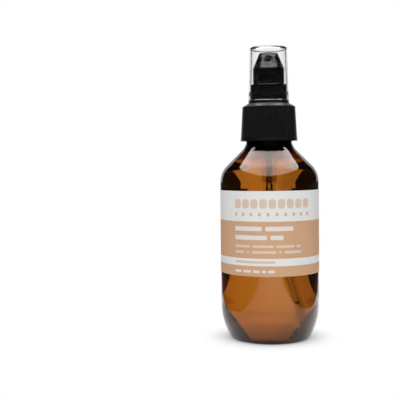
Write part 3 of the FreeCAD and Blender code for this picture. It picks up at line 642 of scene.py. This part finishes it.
def add_air_column(material):
    """Air in the bore of the dip tube: a long column and a bubble below it."""
    column = capsule("air_column", tube_line(*AIR_COLUMN), TUBE_BORE)
    column.data.materials.append(material)
    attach(column, "pump_body")
    bubble = capsule("air_bubble", tube_line(*AIR_BUBBLE, 4), TUBE_BORE * BUBBLE_SHARE)
    bubble.data.materials.append(material)
    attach(bubble, "pump_body")


def add_threads(amber, black):
    """The neck's ridge turns outwards and the closure's inwards, half a pitch above it."""
    low = CLOSURE_LOW.z + THREAD_RISE
    neck = thread("neck_thread", *NECK_THREAD, low)
    neck.data.materials.append(amber)
    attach(neck, "bottle_body")
    inner = thread("closure_thread", *CLOSURE_THREAD, low + THREAD_PITCH / 2)
    inner.data.materials.append(black)
    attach(inner, "closure_body")


def dress_nodes():
    """Gives every solid of the frame its material, and returns the materials by node."""
    black = black_plastic()
    looks = {
        "bottle": amber_pet(),
        "wrap_label": label_film(),
        "neck_gasket": foam_liner(),
        "pump_housing": natural_plastic(),
        "gland": natural_plastic("natural_gland"),
        "collar": black,
        "closure": black_plastic("black_closure", 0.3),
        "dip_tube": clear_tube(),
        "inlet_ball": steel(),
        "stem": natural_plastic("natural_stem"),
        "piston_rod": natural_plastic("natural_rod"),
        "piston_seal": natural_plastic("soft_seal"),
        "return_spring": steel(),
        "actuator": black,
        "nozzle_insert": black,
        "overcap": clear_plastic(),
    }
    for name, look in looks.items():
        NODES[name].data.materials.clear()
        NODES[name].data.materials.append(look)
    return looks


# Setting: floor, sheet, lights, surroundings and camera.

FLOOR_HALF = 3
FLOOR_GAP = 0.05 * MM
FLOOR_SHADE = (0.012, 0.036)

# The white sheet under and behind the bottle, as it shows in glass: its edges, how it curves up, and
# where it is shaded.

SHEET_SIDES = (-0.092, 0.106)
SHEET_FRONT = -0.30
SHEET_LEVEL = 1.0
SWEEP_START = 0.106
SWEEP_RADIUS = 0.31
SWEEP_END = math.radians(54)
SIDE_SHADE = (-0.05, -0.015)
SIDE_LEVEL = 0.72
NEAR_SHADE = (0.09, 0.25)
NEAR_LEVEL = 0.8
# Painted reflection: how much brighter the floor glows where it shows in reflections.
PAINTED_REFLECTION_LEVEL = 1.9

# The surroundings as they show in glass, by the direction of the ray: its Y is 1 straight behind the
# bottle and its Z is 1 straight up.

DARK_LEVEL = 0.03
BEHIND = 0.4
ROOM_LEVEL = 0.02
BACKDROP_LEVEL = 0.75
BACKDROP_Y = 0.8
BACKDROP_TOP = 0.5
CLEAR_Y = 0.93
CLEAR_TOP = 0.3
AMBIENT_LEVELS = (0.7, 0.1)
AMBIENT_Y = -0.3

# The softbox: the lamp, and the outline of one side of its face, which shows in reflections.

LAMP_SIZE = (1.8, 1.2)
LAMP_PLACE = (0, -0.18, 0.8)
LAMP_POWER = 9.6
SOFTBOX_HEIGHT = 0.8
SOFTBOX_COLOUR = (1, 0.97, 0.94, 1)
SOFTBOX_LEVELS = (4.8, 7.0)
SOFTBOX_CHANGE = (-0.24, -0.02)
SOFTBOX_SIDE = [
    (0, -1.18),
    (0.35, -1.075),
    (0.60, -0.80),
    (0.71, -0.30),
    (0.70, -0.02),
    (0.665, 0.23),
    (0.50, 0.43),
]

CAMERA_DISTANCE = 0.404
CAMERA_HEIGHT = 0.0873
CAMERA_TURN = -0.0851
CAMERA_DIP = 0.0470
CAMERA_ROLL = -0.0110
CAMERA_NEAR = 0.01
LENS = 73.3


def add_sweep():
    """The back of the white sheet that the bottle stands on, which curves up behind it."""
    steps = 24
    verts = []
    for i in range(steps + 1):
        a = SWEEP_END * i / steps
        y = SWEEP_START + SWEEP_RADIUS * math.sin(a)
        z = BOTTLE_LOW.z + SWEEP_RADIUS * (1 - math.cos(a))
        verts += [(SHEET_SIDES[0], y, z), (SHEET_SIDES[1], y, z)]
    faces = [(2 * i, 2 * i + 1, 2 * i + 3, 2 * i + 2) for i in range(steps)]
    sweep = mesh_object("sweep", verts, faces)
    look, glow = show_in_glass(sweep, "sweep", (1, 1, 1, 1))
    shade = look.ramp(look.axes()["X"], SIDE_SHADE, (SIDE_LEVEL, SHEET_LEVEL))
    look.join(shade, glow.inputs["Strength"])


def show_in_glass(board, name, light):
    """Makes a board show in reflections and through clear pieces alone."""
    board.visible_camera = False
    board.visible_diffuse = False
    board.visible_shadow = False
    board.visible_volume_scatter = False
    look = Look(name, (0, 0, 0, 1), 1.0)
    glow = look.node("ShaderNodeEmission")
    glow.inputs["Color"].default_value = light
    look.join(glow.outputs[0], look.tree.nodes["Material Output"].inputs["Surface"])
    board.data.materials.append(look.material)
    return look, glow


def add_floor():
    """Pale and plain to the camera; in glass it is a white sheet on a dark table."""
    corners = [(x * FLOOR_HALF, y * FLOOR_HALF, 0) for x, y in ((-1, -1), (1, -1), (1, 1), (-1, 1))]
    floor = mesh_object("floor", corners, [(0, 1, 2, 3)])
    floor.location.z = BOTTLE_LOW.z - FLOOR_GAP
    look = Look("floor", srgb(244, 244, 244), 0.9, Specular_IOR_Level=0.0)
    look.colour(look.mix(look.noise(3), srgb(243, 243, 243), srgb(246, 246, 246)))
    axes = look.axes()
    length = look.node("ShaderNodeVectorMath", operation="LENGTH")
    look.join(look.place, length.inputs[0])
    distance = length.outputs["Value"]

    # What kind of ray arrives: from the camera, bounced off a dull surface, or through or off glass.
    rays = look.node("ShaderNodeLightPath").outputs
    camera = rays["Is Camera Ray"]
    glass = look.math("SUBTRACT", 1.0, look.math("MAXIMUM", camera, rays["Is Diffuse Ray"]))
    reflected = look.math("MINIMUM", rays["Glossy Depth"], 1.0)

    # Off the sheet the table is dark, in reflections everywhere and through glass behind the bottle.
    sheet = look.math("GREATER_THAN", axes["X"], SHEET_SIDES[0])
    sheet = look.math("MULTIPLY", sheet, look.math("LESS_THAN", axes["X"], SHEET_SIDES[1]))
    sheet = look.math("MULTIPLY", sheet, look.math("GREATER_THAN", axes["Y"], SHEET_FRONT))
    aside = look.math("MULTIPLY", look.math("ABSOLUTE", axes["X"]), BEHIND)
    behind = look.math("GREATER_THAN", axes["Y"], aside)
    dark = look.math("MULTIPLY", glass, look.math("SUBTRACT", 1.0, sheet))
    dark = look.math("MULTIPLY", dark, look.math("MAXIMUM", reflected, behind))

    # The floor glows to the camera and in glass, and takes the bottle's shadow close round its foot. In
    # glass it
    # # carries painted shade on its left side and near the bottle, and it is painted brighter where it
    # shows in reflections.
    shade = look.ramp(axes["X"], SIDE_SHADE, (SIDE_LEVEL, SHEET_LEVEL))
    shade = look.math("MULTIPLY", shade, look.ramp(distance, NEAR_SHADE, (NEAR_LEVEL, 1)))
    painted_reflection = look.spread(reflected, 1.0, PAINTED_REFLECTION_LEVEL)
    level = look.math("MAXIMUM", camera, look.math("MULTIPLY", shade, painted_reflection))
    level = look.math("MULTIPLY", level, look.spread(dark, 1.0, DARK_LEVEL))
    glow = look.node("ShaderNodeEmission")
    look.join(level, glow.inputs["Strength"])
    blend = look.node("ShaderNodeMixShader")
    reach = look.ramp(distance, FLOOR_SHADE, (0, 1))
    seen = look.math("MULTIPLY", look.math("MAXIMUM", camera, glass), reach)
    look.join(look.math("MAXIMUM", seen, dark), blend.inputs[0])
    look.join(look.shader.outputs[0], blend.inputs[1])
    look.join(glow.outputs[0], blend.inputs[2])
    look.join(blend.outputs[0], look.tree.nodes["Material Output"].inputs["Surface"])
    floor.data.materials.append(look.material)


def add_lights():
    """A softbox above: a lamp that lights, and a face that shows in reflections."""
    lamp = bpy.data.lights.new("softbox", "AREA")
    lamp.shape = "RECTANGLE"
    lamp.size, lamp.size_y = LAMP_SIZE
    lamp.energy = LAMP_POWER
    softbox = bpy.data.objects.new("softbox", lamp)
    softbox.location = LAMP_PLACE
    softbox.visible_glossy = False
    softbox.visible_transmission = False
    softbox.visible_camera = False
    bpy.context.scene.collection.objects.link(softbox)
    sides = [(x, y, 0) for x, y in SOFTBOX_SIDE]
    outline = [*sides, *[(-x, y, 0) for x, y, z in reversed(sides) if x > 0]]
    face = mesh_object("softbox_face", outline, [tuple(range(len(outline)))])
    face.location.z = SOFTBOX_HEIGHT
    look, glow = show_in_glass(face, "softbox_face", SOFTBOX_COLOUR)
    strength = look.ramp(look.axes()["Y"], SOFTBOX_CHANGE, SOFTBOX_LEVELS)
    look.join(strength, glow.inputs["Strength"])


def add_world():
    """White to look at and to look through; reflections see a dark room with a white backdrop."""
    world = bpy.data.worlds.new("studio")
    bpy.context.scene.world = world
    world.use_nodes = True
    tree = world.node_tree
    rays = tree.nodes.new("ShaderNodeLightPath").outputs

    def above(socket, limit):
        node = tree.nodes.new("ShaderNodeMath")
        node.operation = "GREATER_THAN"
        node.inputs[1].default_value = limit
        tree.links.new(socket, node.inputs[0])
        return node.outputs[0]

    def mix(factor, first, second):
        node = tree.nodes.new("ShaderNodeMix")
        tree.links.new(factor, node.inputs[0])
        for socket, value in ((node.inputs[2], first), (node.inputs[3], second)):
            if isinstance(value, float):
                socket.default_value = value
            else:
                tree.links.new(value, socket)
        return node.outputs[0]

    direction = tree.nodes.new("ShaderNodeTexCoord")
    split = tree.nodes.new("ShaderNodeSeparateXYZ")
    tree.links.new(direction.outputs["Generated"], split.inputs[0])
    back, up = split.outputs["Y"], split.outputs["Z"]
    reflected = above(rays["Glossy Depth"], 0.5)
    front = mix(reflected, 1.0, ROOM_LEVEL)
    clear = mix(above(up, CLEAR_TOP), 1.0, ROOM_LEVEL)
    clear = mix(above(back, CLEAR_Y), ROOM_LEVEL, clear)
    shine = mix(above(up, BACKDROP_TOP), BACKDROP_LEVEL, ROOM_LEVEL)
    shine = mix(above(back, BACKDROP_Y), ROOM_LEVEL, shine)
    room = mix(above(back, BEHIND), front, mix(reflected, clear, shine))
    seen = mix(rays["Is Camera Ray"], room, 1.0)
    ambient = mix(above(back, AMBIENT_Y), *AMBIENT_LEVELS)
    level = mix(above(rays["Diffuse Depth"], 0.5), seen, ambient)
    light = tree.nodes["Background"]
    light.inputs["Color"].default_value = (1, 1, 1, 1)
    tree.links.new(level, light.inputs["Strength"])


def add_camera():
    """The camera in front of the bottle, turned to the left, dipped and rolled a little."""
    data = bpy.data.cameras.new("camera")
    data.lens = LENS
    data.clip_start = CAMERA_NEAR
    flat = math.cos(CAMERA_DIP)
    ahead = Vector((math.sin(CAMERA_TURN) * flat, math.cos(CAMERA_TURN) * flat, -math.sin(CAMERA_DIP)))
    level = Vector((math.cos(CAMERA_TURN), -math.sin(CAMERA_TURN), 0))
    above = level.cross(ahead)
    right = level * math.cos(CAMERA_ROLL) + above * math.sin(CAMERA_ROLL)
    up = right.cross(ahead)
    turn = Matrix((right, up, -ahead)).transposed()
    camera = bpy.data.objects.new("camera", data)
    camera.matrix_world = Matrix.Translation((0, -CAMERA_DISTANCE, CAMERA_HEIGHT)) @ turn.to_4x4()
    bpy.context.scene.collection.objects.link(camera)
    bpy.context.scene.camera = camera


looks = dress_nodes()
add_bottle(looks["bottle"])
add_housing(looks["pump_housing"], wet_plastic())
add_oil()
add_air_column(air_in_oil())
add_threads(looks["bottle"], looks["closure"])
add_floor()
add_lights()
add_sweep()
add_world()
add_camera()

bpy.context.scene.view_settings.view_transform = "Standard"
